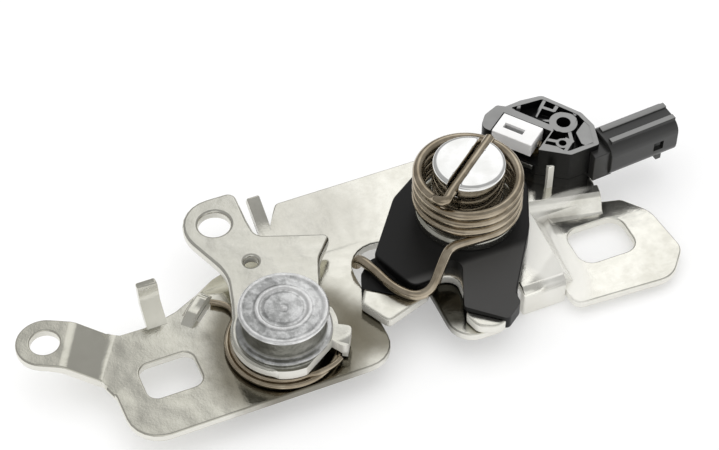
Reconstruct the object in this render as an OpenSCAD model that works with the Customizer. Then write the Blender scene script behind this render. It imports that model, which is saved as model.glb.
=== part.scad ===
// Bonnet latch: base plate, rotary catch with its big spring, release lever and bonnet-open switch.
// Millimetres. Origin: centre of the round end of the striker mouth, on the underside of the plate.
// The mouth opens to -Y, the plate runs along X and its working side faces +Z.

/* [Base plate] */
// Sheet thickness
plate_t = 2.5; // [2:0.1:3]
// Width of the striker mouth
mouth_w = 16; // [14:0.5:20]
// Front edge of the plate
plate_front = -30.5; // [-34:0.5:-28]
// Back edge of the plate
plate_back = 32; // [30:0.5:34]
// Left edge of the plate
plate_left = -79.5; // [-84:0.5:-76]
// Right edge of the shelf under the switch
shelf_right = 66.3; // [64:0.1:69]
// Height of the raised left tab above the plate
tab_rise = 4.8; // [3:0.1:6]
// Width of the left tab
tab_w = 15.2; // [14:0.1:17]
// Hole in the left tab
tab_hole_d = 7.8; // [6:0.1:9]
// Drop of the right foot below the plate
foot_drop = 5; // [4:0.1:6]
// Length of the left bolt slot
left_slot_l = 15; // [12:0.5:18]
// Width of the left bolt slot
left_slot_w = 11.6; // [9:0.1:13]
// Length of the right bolt slot
right_slot_l = 17; // [14:0.5:19]
// Width of the right bolt slot
right_slot_w = 13; // [10:0.5:14]
// Depth of the front flange below the plate
flange_drop = 7; // [5:0.5:9]

/* [Rotary catch] */
// Thickness of the steel core
core_t = 2.8; // [2.4:0.1:3]
// Height of the cover above the plate
cover_h = 6; // [5.6:0.1:6.4]
// Radius of the pin journal inside the catch
journal_r = 9; // [7:0.1:9.4]
// Radius of the post above the catch
post_r = 9.8; // [9.5:0.1:10.2]
// Top of the post above the plate
post_h = 26.2; // [25.5:0.1:28]
// Wall of the bearing sleeve
bush_wall = 1.4; // [1:0.1:1.8]
// Radius of the spring seat
seat_r = 14; // [13:0.1:15]
// Wire of the big spring
claw_wire_d = 2.8; // [2.4:0.1:2.8]
// Mean radius of the big spring
claw_coil_r = 13.6; // [13.2:0.1:14]
// Rise of each turn of the big spring
claw_coil_pitch = 3; // [2.95:0.01:3.1]

/* [Release lever] */
// Thickness of the lever
lever_t = 3.1; // [2.5:0.1:3.2]
// Radius of the round end of the lever
lever_hub_r = 14; // [13:0.1:15]
// Hole of the cable eye
eye_d = 8.8; // [7:0.1:9.4]
// Small hole in the lever
pin_hole_d = 3.8; // [3:0.1:4.5]
// Radius of the rivet inside the lever
rivet_r = 7; // [6:0.1:7.5]
// Radius of the rivet flange
rivet_flange_r = 12.6; // [12:0.1:13.5]
// Radius of the rivet head
rivet_head_r = 11.8; // [11:0.1:12.4]
// Wire of the lever spring
pawl_wire_d = 1.6; // [1.2:0.1:1.6]

/* [Switch] */
// Height of the switch above the plate
switch_h = 11.8; // [11.5:0.1:13]
// Length of the white slider
slider_l = 12.2; // [11:0.1:12.6]
// Width of the white slider
slider_w = 7.8; // [7:0.1:8.2]
// Travel of the slider
slider_travel = 2; // [1.5:0.1:2.2]
// Width of the plug socket
socket_w = 11.4; // [10.5:0.1:12]
// Height of the plug socket
socket_h = 11.6; // [11:0.1:12]
// Wall of the plug socket
socket_wall = 1.5; // [1.2:0.1:1.8]
// Length of the plug socket
socket_l = 22; // [20:0.5:24]

/* [Fits] */
// Running fit of a shaft in its sleeve, on the radius
run_fit = 0.05; // [0.02:0.01:0.08]
// Gap between flat faces that slide past each other
face_gap = 0.1; // [0.08:0.01:0.15]
// Height of the catch above the plate
catch_lift = 0.3; // [0.3:0.05:0.35]
// Gap around the slider in its channel
slide_gap = 0.3; // [0.25:0.05:0.4]

/* [Hidden] */
$fn = 64;
past = 0.5;
mouth_r = mouth_w / 2;
plate_top = plate_t;
pin_at = [26.4, 3.5];
rivet_at = [-34, -15];
core_z = plate_top + catch_lift;
core_top = core_z + core_t;
cover_top = plate_top + cover_h;
seat_z = cover_top + face_gap;
seat_t = 3.2;
seat_top = seat_z + seat_t;
bush_r = journal_r + run_fit + bush_wall;
post_top = plate_top + post_h;
post_slot_w = claw_wire_d + 0.4;
post_slot_turn = 38;
post_slot_z = post_top - 3.9;
lever_z = core_top + 0.3;
lever_top = lever_z + lever_t;
pawl_bush_r = rivet_r + run_fit + 1.9;
flange_z = lever_top + face_gap;
rivet_flange_t = 1.2;
rivet_neck_r = rivet_head_r - 1;
rivet_neck_h = 6.3;
rivet_head_t = 1.2;
rivet_top = flange_z + rivet_flange_t + rivet_neck_h + rivet_head_t;
rivet_edge = 0.4;
groove_r = 6.4;
groove_w = 1;
tab_at = [plate_left - 12.6, 6.2];
tab_turn = 152;
tab_bend_near = 6.3;
tab_bend_far = 15.7;
foot_z = -foot_drop;
riser_run = 3;
eye_at = [-38.2, 26];
tab_reach = 17.2;
pin_hole_at = [-33.8, 9.7];
left_slot_at = [-64.7, -12.8];
right_slot_at = [60.9, -11.4];
flange_left = 31;
flange_right = 43.5;
flange_face = -24;
switch_z = plate_top;
switch_base_t = 1.8;
housing_z = switch_z + switch_base_t;
switch_top = switch_z + switch_h;
slider_at = [50.1, 21.2];
slider_turn = -52.7;
slider_top = switch_top + 0.3;
slider_z = switch_top - 4.2;
bridge_z = slider_z - 1.2;
boss_at = [63.2, 18.9];
boss_r = 4;
boss_hole_r = 2;
well_depth = 2.6;
rib_w = 1;
rib_low = 0.1;
small_boss_at = [59.4, 11.9];
small_boss_r = 1.9;
small_boss_hole_r = 1.1;
slider_coil_steps = 24;
socket_at = [70.5, 9.6];
socket_turn = 4.5;
socket_mid = plate_top + 5.9;
socket_floor = 6;
blade_w = 1.5;
blade_t = 0.8;
blade_rise = 1.8;
blade_gap = 0.05;
pad_top = bridge_z - face_gap;
channel_z = pad_top - blade_t;

// Unit vector
function unit(v) = v / norm(v);

// Points of one rounded corner of an outline, each corner given as [x, y, radius]
function corner_points(before, here, after, steps) =
    here[2] <= 0 ? [[here[0], here[1]]] :
    let (point = [here[0], here[1]],
         back_way = unit([before[0], before[1]] - point),
         on_way = unit([after[0], after[1]] - point),
         half = acos(min(1, max(-1, back_way * on_way))) / 2,
         centre = point + unit(back_way + on_way) * here[2] / sin(half),
         first = point + back_way * here[2] / tan(half) - centre,
         last = point + on_way * here[2] / tan(half) - centre,
         start = atan2(first[1], first[0]),
         sweep = (atan2(last[1], last[0]) - start + 540) % 360 - 180)
    [for (i = [0:steps]) centre + here[2] * [cos(start + sweep * i / steps), sin(start + sweep * i / steps)]];

// Closed outline with rounded corners
function rounded(corners, steps = 6) =
    let (count = len(corners))
    [for (i = [0:count - 1])
        each corner_points(corners[(i + count - 1) % count], corners[i], corners[(i + 1) % count], steps)];

// Flat slab over an outline
module slab(corners, low, high) {
    translate([0, 0, low])
        linear_extrude(height = high - low)
            polygon(rounded(corners));
}

// Upright cylinder between two heights
module post(at, r, low, high) {
    translate([at[0], at[1], low])
        cylinder(r = r, h = high - low);
}

// Corners of a rectangle with rounded corners
function box_corners(l, w, r) =
    [[-l / 2, -w / 2, r], [l / 2, -w / 2, r], [l / 2, w / 2, r], [-l / 2, w / 2, r]];

// Direction of a path at one of its points
function way_at(path, i) = unit(path[min(len(path) - 1, i + 1)] - path[max(0, i - 1)]);

// Round wire along a path of points
module wire(path, r, sides = 10) {
    count = len(path);
    ring = [for (i = [0:count - 1])
        let (way = way_at(path, i),
             flat = abs(way[2]) > 0.95 ? unit(cross(way, [0, 1, 0])) : unit(cross(way, [0, 0, 1])),
             lift = cross(flat, way))
        for (k = [0:sides - 1])
            path[i] + r * (cos(360 * k / sides) * flat + sin(360 * k / sides) * lift)];
    skin = [for (i = [0:count - 2])
        for (k = [0:sides - 1])
            let (next = (k + 1) % sides)
            each [[i * sides + k, i * sides + next, (i + 1) * sides + next],
                  [i * sides + k, (i + 1) * sides + next, (i + 1) * sides + k]]];
    near_cap = [for (k = [sides - 1:-1:0]) k];
    far_cap = [for (k = [0:sides - 1]) (count - 1) * sides + k];
    polyhedron(points = ring, faces = concat(skin, [near_cap, far_cap]), convexity = 10);
}

// Plate seen from above, without the foot, the tab and the flange
plate_outline = [
    [plate_left, plate_front, 9], [-mouth_r, plate_front, 8],
    [-mouth_r, mouth_r, mouth_r - 0.01], [mouth_r, mouth_r, mouth_r - 0.01],
    [mouth_r, plate_front - 1.5, 7], [24, plate_front - 1.5, 6], [27, -19, 3],
    [flange_left, -19, 1], [flange_left, flange_face + plate_t, 0], [flange_right, flange_face + plate_t, 0],
    [44.5, -12, 0], [45.1, 4.3, 0], [65.1, 0.2, 0], [shelf_right, 4.9, 0],
    [shelf_right, 20, 4], [60, 27.5, 4], [40, plate_back, 4],
    [-18.5, plate_back, 2], [-24, 22.5, 3], [-30, 17.5, 4], [-44, 13.2, 6], [-50, 9.5, 4], [-56.8, 6.5, 4],
    [-65.8, 4.3, 3], [plate_left + 4.2, 4.5, 1], [plate_left - 2.2, -7.9, 0], [plate_left - 0.3, -14, 4]];

// Foot seen from above
foot_outline = [
    [44, plate_front + 1.2, 3], [73, plate_front - 0.3, 8], [80.2, -22.4, 5], [78.6, -7, 8], [73, 0, 3],
    [64, 2.2, 1], [48, 3, 2], [43.5, -12, 0]];

// Section through a step in the sheet, running down along +X
riser_section = [[-3.5, 0], [-3.5, plate_t], [0, plate_t], [riser_run, foot_z + plate_t],
                 [riser_run + 2.5, foot_z + plate_t], [riser_run + 2.5, foot_z],
                 [riser_run - 1.4, foot_z], [-1.4, 0]];

// Section through the raised tab, running out along +X from the hole
tab_section = [[-tab_bend_far - 3, 0], [-tab_bend_far - 3, plate_t], [-tab_bend_far, plate_t],
               [-tab_bend_near, plate_t + tab_rise], [tab_w, plate_t + tab_rise], [tab_w, tab_rise],
               [-tab_bend_near + 0.6, tab_rise], [-tab_bend_far + 0.6, 0]];

// Sloping length of sheet between two points of its upper edge
module riser(from, to) {
    way = to - from;
    translate([from[0], from[1], 0])
        rotate([0, 0, atan2(way[1], way[0]) - 90])
            rotate([90, 0, 180])
                mirror([1, 0, 0])
                    linear_extrude(height = norm(way))
                        polygon(riser_section);
}

module left_tab() {
    translate([tab_at[0], tab_at[1], 0])
        rotate([0, 0, tab_turn])
            intersection() {
                translate([0, tab_w / 2 + past, 0])
                    rotate([90, 0, 0])
                        linear_extrude(height = tab_w + 2 * past)
                            polygon(tab_section);
                union() {
                    cylinder(r = tab_w / 2, h = plate_t + tab_rise + past);
                    translate([-tab_bend_far - 4, -tab_w / 2, -past])
                        cube([tab_bend_far + 4, tab_w, plate_t + tab_rise + 2 * past]);
                }
            }
}

// Sheet lug that leans back from its root
module lug(at, w, length, lean) {
    translate([at[0], at[1], 0])
        rotate([lean, 0, 0])
            translate([-w / 2, -1, 0])
                cube([w, length + 1, plate_t]);
}

// Tall lug whose upper half stands up straighter
module bent_lug(at, w, length, lean, tip, tip_lean) {
    lug(at, w, length, lean);
    translate([at[0], at[1] + length * cos(lean), length * sin(lean)])
        rotate([tip_lean, 0, 0])
            translate([-w / 2, 0, 0])
                cube([w, tip, plate_t]);
}

module front_flange() {
    translate([flange_left, flange_face, -flange_drop])
        cube([flange_right - flange_left, plate_t, flange_drop]);
    intersection() {
        translate([flange_left, flange_face + plate_t, 0])
            rotate([0, 90, 0])
                cylinder(r = plate_t, h = flange_right - flange_left);
        translate([flange_left, flange_face, 0])
            cube([flange_right - flange_left, plate_t, plate_t]);
    }
}

// Bridge, and the slit on each side of it
bridge_at = [-51.4, 4.6];
bridge_turn = 43;
bridge_w = 3.2;
slit_w = 1.1;

// Section along the raised bridge
bridge_section = [
    [-6, 0.4, 0], [-2.6, plate_t + 0.3, 1.2], [2.6, plate_t + 0.3, 1.2], [6, 0.4, 0],
    [6, plate_t, 0], [3.4, plate_t + 2.3, 2.2], [-3.4, plate_t + 2.3, 2.2], [-6, plate_t, 0]];

// Raised bridge that holds the fixed leg of the lever spring
module spring_bridge() {
    translate([bridge_at[0], bridge_at[1], 0])
        rotate([0, 0, bridge_turn])
            rotate([90, 0, 0])
                translate([0, 0, -bridge_w / 2])
                    linear_extrude(height = bridge_w)
                        polygon(rounded(bridge_section));
}

module bridge_windows() {
    translate([bridge_at[0], bridge_at[1], -past])
        rotate([0, 0, bridge_turn])
            for (side = [-1, 1])
                translate([-3.2, side * (bridge_w + slit_w) / 2 - slit_w / 2, 0])
                    cube([6.4, slit_w, plate_t + 2 * past]);
}

module base_plate() {
    color("Silver")
        difference() {
            union() {
                slab(plate_outline, 0, plate_t);
                slab(foot_outline, foot_z, foot_z + plate_t);
                difference() {
                    union() {
                        riser([45.6, 4.2], [66.4, -0.1]);
                        riser([44.2, -21.5], [44.9, 4.4]);
                    }
                    translate([0, flange_face - 30, -20])
                        cube([100, 30, 40]);
                }
                left_tab();
                bent_lug([-62.6, 4.4], 5.4, 8.6, 45, 6.4, 78);
                lug([-25, 20], 3.6, 14.2, 27);
                translate([53.2, 7.6, plate_t - past])
                    cube([1.8, 1.2, 8.6 + past]);
                front_flange();
                spring_bridge();
            }
            post(tab_at, tab_hole_d / 2, -past, plate_t + tab_rise + past);
            translate([left_slot_at[0], left_slot_at[1], 0])
                slab(box_corners(left_slot_l, left_slot_w, 3), -past, plate_t + past);
            translate([right_slot_at[0], right_slot_at[1], 0])
                slab(box_corners(right_slot_l, right_slot_w, 4), foot_z - past, foot_z + plate_t + past);
            post(pin_at, journal_r - 3, -past, plate_t + past);
            post(rivet_at, rivet_r - 2, -past, plate_t + past);
            bridge_windows();
        }
}

// Steel core of the catch
core_outline = [
    [-11.4, -12.5, 1.5], [-7.1, -21, 1.5], [6.1, -16.7, 3], [10, -11.5, 4], [15.6, -14, 3], [14.4, -23.4, 1],
    [12.4, -27, 2], [13.6, -31.4, 3], [18, -33.6, 4], [22, -32.4, 3], [25, -27.5, 3], [37, -8, 8],
    [43, 10, 8], [34, 20, 6], [18, 18, 6], [4, -2, 6], [-4.8, -2.4, 4]];

// Black cover of the catch
cover_outline = [
    [2.6, -14.6, 3], [9.6, -14.6, 3], [14.5, -7, 3], [17.6, -13.2, 3], [12.4, -25.5, 1], [21.7, -33.3, 1.5],
    [26.7, -29.8, 2], [27.6, -25.6, 4], [40, -7.8, 20], [47.4, 8.4, 10], [42, 22, 10], [22, 24, 8],
    [10.4, 16.4, 8], [-2.6, -0.6, 2]];

// Recess under the tip of the right arm, where the steel shows
tip_recess = [[11, -27.5, 0], [13.6, -22.6, 0], [22.3, -29.2, 0], [18.6, -34.6, 0]];

// The right arm falls from this line to its tip, in degrees
arm_bend = -13;
arm_fall = 4.5;

// Low ledge of the cover behind the steel tip
ledge_outline = [[-9.3, -8, 1], [-2.5, -13, 1], [6, -12, 1], [6, 2, 1], [-3.8, 0.2, 2], [-7.6, -3.4, 2]];

module claw_core() {
    color("Gainsboro")
        difference() {
            slab(core_outline, core_z, core_top);
            post(pin_at, bush_r, core_z - past, core_top + past);
            slab(ledge_outline, core_z - past, core_top + past);
        }
}

module claw_cover() {
    color("DimGray")
        difference() {
            union() {
                slab(cover_outline, core_z, cover_top);
                slab(ledge_outline, core_z, core_top);
            }
            difference() {
                slab(core_outline, core_z - past, core_top);
                slab(ledge_outline, core_z - 2 * past, core_top + past);
            }
            slab(tip_recess, core_z - past, core_top + 0.3);
            translate([11, arm_bend, cover_top])
                rotate([arm_fall, 0, 0])
                    translate([0, -30, 0])
                        cube([30, 30, 5]);
            post(pin_at, bush_r, core_z - past, cover_top + past);
        }
}

module claw_bush() {
    color("Khaki")
        difference() {
            post(pin_at, bush_r, core_z, cover_top);
            post(pin_at, journal_r + run_fit, core_z - past, cover_top + past);
        }
}

module claw_washer() {
    color("LightGray")
        difference() {
            post(pin_at, journal_r + 4, plate_top, core_z - face_gap);
            post(pin_at, journal_r, plate_top - past, core_z + past);
        }
}

module claw_pin() {
    color("WhiteSmoke")
        difference() {
            union() {
                post(pin_at, journal_r - 3, -past, plate_top);
                post(pin_at, journal_r, plate_top, seat_z + past);
                post(pin_at, post_r, seat_z, post_top - 1.2);
                translate([pin_at[0], pin_at[1], post_top - 1.2])
                    cylinder(r1 = post_r, r2 = post_r - 1.2, h = 1.2);
                translate([pin_at[0], pin_at[1], -1.8])
                    cylinder(r1 = journal_r - 1.5, r2 = journal_r - 0.6, h = 1.8);
            }
            translate([pin_at[0], pin_at[1], post_slot_z])
                rotate([0, 0, post_slot_turn])
                    translate([-post_r - past, -post_slot_w / 2, 0])
                        cube([2 * post_r + 2 * past, post_slot_w, post_h]);
        }
}

module spring_seat() {
    color("Gray")
        difference() {
            union() {
                post(pin_at, seat_r, seat_z, seat_top - 0.8);
                translate([pin_at[0], pin_at[1], seat_top - 0.8])
                    cylinder(r1 = seat_r, r2 = seat_r - 0.8, h = 0.8);
            }
            post(pin_at, post_r, seat_z - past, seat_top + past);
        }
}

// Big spring: leg from the hook on the catch to the coil, the coil, and the tang in the slot of the post
claw_coil_low = seat_top + claw_wire_d / 2 + 0.1;
claw_coil_start = 275;
claw_coil_sweep = 1368;
claw_coil_steps = 92;
leg_z = core_top + claw_wire_d / 2 + 0.1;
tang_z = post_slot_z + claw_wire_d / 2 + 0.1;
tang_way = [cos(post_slot_turn), sin(post_slot_turn)];

function coil_point(turn) =
    [pin_at[0] + claw_coil_r * cos(turn), pin_at[1] + claw_coil_r * sin(turn),
     claw_coil_low + claw_coil_pitch * (turn - claw_coil_start) / 360];

claw_leg = [
    [-6.9, 1.5, leg_z - 3.2], [-6.8, 1.4, leg_z - 1.8], [-6.5, 0.9, leg_z - 0.7], [-5.9, -0.4, leg_z - 0.1],
    [-5.1, -2.2, leg_z], [-4.1, -5, leg_z], [-2.7, -9.6, leg_z], [-1.6, -12.2, leg_z], [-0.2, -14.4, leg_z],
    [1.8, -16.4, leg_z], [4, -17.1, leg_z + 0.1], [6.2, -17, leg_z + 0.7], [8.2, -16.1, leg_z + 2],
    [10.8, -13.7, leg_z + 3.9], [13.4, -11.3, leg_z + 5.3], [14.9, -10.3, leg_z + 5.7],
    [17, -9.9, leg_z + 6.1], [21, -10, leg_z + 6.2]];

claw_tang = [
    [13.9, -3.3, tang_z - 0.7], [14.9, -4.5, tang_z - 0.3], [16.3, -4.6, tang_z],
    for (reach = [-10.6, -5, 0, 6, 12.4])
        [pin_at[0] + reach * tang_way[0], pin_at[1] + reach * tang_way[1], tang_z]];

module claw_spring() {
    color("RosyBrown")
        wire(concat(claw_leg,
                    [for (i = [0:claw_coil_steps])
                        coil_point(claw_coil_start + claw_coil_sweep * i / claw_coil_steps)],
                    claw_tang), claw_wire_d / 2);
}

// Lever seen from above
lever_outline = [
    [-47, -15, 0], [-45.6, -7.8, 3], [-43.4, -0.8, 6], [-41.2, 8, 14], [-47, 23.5, 12], [-46.2, 35.4, 9.5],
    [-29.2, 35.2, 2.5], [-29.6, 24, 6], [-29.3, 18, 3.2], [-23.4, 15.6, 3], [-10.4, 10.6, 1.5],
    [-16.6, 3.6, 8], [-20.2, -6, 6], [-21, -15, 0]];

// Spring tab of the lever, from the rivet outwards
tab_outline = [[10.5, -3.4, 0], [tab_reach, -3.4, 1.2], [tab_reach, 3.4, 1.2], [10.5, 3.4, 0]];

// Flat of the lever with its holes
module lever_flat() {
    difference() {
        union() {
            polygon(rounded(lever_outline));
            translate(rivet_at)
                circle(r = lever_hub_r);
            translate(rivet_at)
                rotate(-31)
                    polygon(rounded(tab_outline));
        }
        translate(rivet_at)
            rotate(-58)
                translate([12.2, -10])
                    square([6, 14]);
        translate(rivet_at)
            circle(r = pawl_bush_r);
        translate(eye_at)
            circle(r = eye_d / 2);
        translate(pin_hole_at)
            circle(r = pin_hole_d / 2);
    }
}

module pawl_lever() {
    color("LightSteelBlue") {
        translate([0, 0, lever_z])
            linear_extrude(height = lever_t)
                lever_flat();
        translate([rivet_at[0], rivet_at[1], plate_top + 0.5])
            rotate([0, 0, -31])
                translate([tab_reach - 1.8, -2.6, 0])
                    cube([1.6, 5.2, lever_z - plate_top]);
        slab([[-19.4, 5.8, 0.5], [-15.6, 5.8, 0.5], [-15.6, 8.6, 0.5], [-19.4, 8.6, 0.5]],
             core_z, lever_z + past);
    }
}

module pawl_bush() {
    color("DarkKhaki")
        difference() {
            post(rivet_at, pawl_bush_r, lever_z, lever_top);
            post(rivet_at, rivet_r + run_fit, lever_z - past, lever_top + past);
        }
}

module pawl_spacer() {
    color("SlateGray")
        difference() {
            post(rivet_at, rivet_r + 3.5, plate_top, lever_z - face_gap);
            post(rivet_at, rivet_r, plate_top - past, lever_z + past);
        }
}

module pawl_rivet() {
    color("LightSlateGray")
        difference() {
            union() {
                translate([rivet_at[0], rivet_at[1], -1.8])
                    cylinder(r1 = rivet_r - 0.4, r2 = rivet_r + 0.6, h = 1.8);
                post(rivet_at, rivet_r - 2, -past, plate_top);
                post(rivet_at, rivet_r, plate_top, flange_z + past);
                post(rivet_at, rivet_flange_r, flange_z, flange_z + rivet_flange_t - rivet_edge);
                translate([rivet_at[0], rivet_at[1], flange_z + rivet_flange_t - rivet_edge])
                    cylinder(r1 = rivet_flange_r, r2 = rivet_flange_r - rivet_edge, h = rivet_edge);
                post(rivet_at, rivet_neck_r, flange_z, rivet_top - rivet_head_t + past);
                post(rivet_at, rivet_head_r, rivet_top - rivet_head_t, rivet_top - rivet_edge);
                translate([rivet_at[0], rivet_at[1], rivet_top - rivet_edge])
                    cylinder(r1 = rivet_head_r, r2 = rivet_head_r - rivet_edge, h = rivet_edge);
            }
            difference() {
                post(rivet_at, groove_r, rivet_top - 0.4, rivet_top + past);
                post(rivet_at, groove_r - groove_w, rivet_top - past, rivet_top + past);
            }
        }
}

// Thin spring: from the bridge on the plate, round under the lever, to the bent tab of the lever
pawl_coil_wide = 15.2;
pawl_coil_slim = 13.3;
pawl_coil_low = plate_top + pawl_wire_d / 2 + 0.35;
pawl_coil_rise = 0.95;
pawl_coil_start = 135;
pawl_coil_turn = 500;
pawl_coil_steps = 42;

// Fixed leg: from the side of the bridge to the coil, under the lever
pawl_leg = [[-47.3, 5], [-45.6, 3.9], [-44, 2.4], [-43.1, 0.5], [-43.1, -1.4], [-43.7, -3]];

module pawl_spring() {
    color("Sienna")
        wire(concat(
            [for (at = pawl_leg) [at[0], at[1], pawl_coil_low]],
            [for (i = [0:pawl_coil_steps])
                let (share = i / pawl_coil_steps,
                     r = pawl_coil_wide + (pawl_coil_slim - pawl_coil_wide) * share,
                     turn = pawl_coil_start + pawl_coil_turn * share)
                [rivet_at[0] + r * cos(turn), rivet_at[1] + r * sin(turn),
                 pawl_coil_low + pawl_coil_rise * share]],
            [[-30.6, -28.6, pawl_coil_low + 1], [-27.6, -28.2, pawl_coil_low + 1],
             [-24.9, -27.4, pawl_coil_low + 1], [-23, -26.4, pawl_coil_low + 1]]), pawl_wire_d / 2, 8);
}

// Switch seen from above
switch_outline = [
    [41.2, 26.3, 2.5], [51.5, 12.5, 2], [59.5, 6.8, 1.5], [68.6, 7.4, 1], [70.6, 14.6, 1], [69.6, 20.3, 2],
    [62.4, 30.8, 2], [55.9, 31.4, 1], [51.1, 30.9, 0.5], [49, 32.3, 1], [44.4, 30.3, 2]];

// Open top of the switch, inside its rim
switch_well = [
    [51.8, 29.8, 0.5], [59.4, 19.4, 0.5], [59.3, 17.2, 0.3], [54.6, 13.5, 0.3], [57.4, 11.2, 0.5],
    [58.7, 8.7, 0.5], [60, 8.4, 0.3], [67.4, 8.8, 0.5], [69.2, 14.8, 0.5], [68.2, 19.8, 1], [61.8, 29.4, 1]];

// Ribs across the open top, each from one point to another
rib_lines = [
    [[51.2, 30.8], [53.4, 27.2]], [[53.2, 27.2], [55.4, 31]], [[57.2, 24], [63.4, 29.8]],
    [[60.3, 26.8], [62.9, 23.8]], [[62.6, 23.8], [66.6, 27.2]], [[66.6, 20], [69.9, 21.6]],
    [[56.4, 23.4], [60, 21]], [[55, 15.6], [58.6, 12.8]], [[58.4, 8.6], [62.2, 11.6]],
    [[60.8, 13.2], [62.4, 11]], [[63.2, 15.4], [62, 11.2]]];

// Raised flat beside the socket
flat_outline = [[69.6, 17.6, 0.3], [64.6, 14, 0.3], [64.1, 9.7, 0.3], [66, 7, 0], [68.4, 7.2, 0]];

// Ribs, flat and small boss seen from above
module switch_ribs() {
    for (rib = rib_lines)
        let (way = rib[1] - rib[0])
            translate(rib[0])
                rotate(atan2(way[1], way[0]))
                    translate([0, -rib_w / 2])
                        square([norm(way), rib_w]);
    polygon(rounded(flat_outline));
    translate(small_boss_at)
        circle(r = small_boss_r);
}

// Things in line with the slider: +X is the way it moves
module along_slider() {
    translate([slider_at[0], slider_at[1], 0])
        rotate([0, 0, slider_turn])
            children();
}

// Things in line with the socket: +X runs to its open end
module along_socket() {
    translate([socket_at[0], socket_at[1], 0])
        rotate([0, 0, socket_turn])
            children();
}

module switch_base() {
    color("Black")
        slab(switch_outline, switch_z, housing_z);
}

module switch_housing() {
    color("DarkSlateGray")
        difference() {
            union() {
                difference() {
                    slab(switch_outline, housing_z, switch_top);
                    slab(switch_well, switch_top - well_depth, switch_top + past);
                }
                post(boss_at, boss_r, switch_top - 3, switch_top);
                translate([0, 0, switch_top - well_depth - past])
                    linear_extrude(height = well_depth + past - rib_low)
                        intersection() {
                            polygon(rounded(switch_outline));
                            switch_ribs();
                        }
            }
            along_slider()
                translate([-slider_l / 2 - slide_gap, -slider_w, channel_z])
                    cube([slider_l + slider_travel + 2 * slide_gap, 1.5 * slider_w + slide_gap, switch_h]);
            post(boss_at, boss_hole_r, switch_top - 6, switch_top + past);
            post(small_boss_at, small_boss_hole_r, switch_top - well_depth, switch_top + past);
            contact_front_shape(blade_gap);
            contact_back_shape(blade_gap);
        }
}

// Flat bar between two points seen from above
module bar(from, to, w, low, high) {
    way = to - from;
    translate([from[0], from[1], low])
        rotate([0, 0, atan2(way[1], way[0])])
            translate([0, -w / 2, 0])
                cube([norm(way), w, high - low]);
}

// Pin of a contact, from inside the housing to near the open end of the socket
module contact_pin(height, grow) {
    along_socket()
        translate([-4.4 - grow, -blade_w / 2 - grow, height - blade_t / 2 - grow])
            cube([4.4 + socket_l - 6, blade_w + 2 * grow, blade_t + 2 * grow]);
}

// Upper contact: pad in the channel, bar to the socket side, upright, pin
module contact_front_shape(grow) {
    bar(slider_at + [1.3, -2.6], socket_at + [-3.6, -0.2], blade_w + 2 * grow,
        channel_z - grow, pad_top + grow);
    bar(socket_at + [-4.5, -0.4], socket_at + [-3.1, -0.3], blade_w + 2 * grow, channel_z - grow,
        socket_mid + blade_rise + blade_t / 2 + grow);
    contact_pin(socket_mid + blade_rise, grow);
}

// Lower contact: the same way round, with its bar under the channel
module contact_back_shape(grow) {
    bar(slider_at + [-2, 2.2], slider_at + [-0.8, 1.3], blade_w + 2 * grow,
        socket_mid - blade_rise - blade_t / 2 - grow, pad_top + grow);
    bar(slider_at + [-2, 2.2], socket_at + [-3.5, -0.3], blade_w + 2 * grow,
        socket_mid - blade_rise - blade_t / 2 - grow, socket_mid - blade_rise + blade_t / 2 + grow);
    contact_pin(socket_mid - blade_rise, grow);
}

module contact_front() {
    color("Goldenrod")
        contact_front_shape(0);
}

module contact_back() {
    color("DarkGoldenrod")
        contact_back_shape(0);
}

module switch_slider() {
    color("White")
        along_slider()
            difference() {
                translate([-slider_l / 2, -slider_w / 2, slider_z])
                    cube([slider_l, slider_w, slider_top - slider_z]);
                translate([-4, -1.3, slider_top - 2.5])
                    cube([6.1, 2, 2.5 + past]);
            }
}

module contact_bridge() {
    color("Peru")
        along_slider()
            translate([-4.5, -2, bridge_z])
                cube([9, 4, slider_z - bridge_z]);
}

module slider_spring() {
    color("Tan")
        along_slider()
            wire([for (i = [0:slider_coil_steps])
                [slider_l / 2 + 0.45 + slider_travel * 0.6 * i / slider_coil_steps, 0.9 * cos(30 * i),
                 slider_z + 2 + 0.9 * sin(30 * i)]], 0.2, 6);
}

// Section of the socket, grown or shrunk
module socket_section(grow, r) {
    rotate([90, 0, 90])
        linear_extrude(height = socket_l)
            polygon(rounded(box_corners(socket_w + 2 * grow, socket_h + 2 * grow, r)));
}

module connector_shell() {
    color("DimGray")
        difference() {
            along_socket()
                difference() {
                    union() {
                        translate([0, 0, socket_mid])
                            socket_section(0, 3.6);
                        translate([-5, -socket_w / 2 + 1, socket_mid - socket_h / 2 + 0.6])
                            cube([6, socket_w - 2, socket_h - 2.4]);
                        for (side = [-2.6, 2.4])
                            translate([1, side - 0.9, socket_mid + socket_h / 2 - past])
                                cube([socket_l - 1, 1.8, past + 0.6]);
                        translate([socket_l - 6, -socket_w / 2 + 0.9, socket_mid - socket_h / 2 - 0.9])
                            cube([1.6, 1.6, 3.2]);
                    }
                    translate([socket_floor, 0, socket_mid])
                        socket_section(-socket_wall, 2.2);
                    translate([socket_l - 8, -socket_w / 2 - past, socket_mid - 1.5])
                        cube([3.2, socket_wall + 2 * past, 3]);
                }
            slab(switch_outline, switch_z - past, switch_top + past);
            contact_front_shape(0);
            contact_back_shape(0);
        }
}

module actuator_leaf() {
    color("LightGoldenrodYellow")
        translate([46.3, 18.6, housing_z + 2.4])
            rotate([0, 0, -53.3])
                translate([0, -0.4, 0])
                    cube([7.6, 0.4, 1.4]);
}

base_plate();
claw_core();
claw_cover();
claw_bush();
claw_washer();
claw_pin();
spring_seat();
claw_spring();
pawl_lever();
pawl_bush();
pawl_spacer();
pawl_rivet();
pawl_spring();
switch_base();
switch_housing();
switch_slider();
contact_bridge();
slider_spring();
contact_front();
contact_back();
connector_shell();
actuator_leaf();
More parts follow.
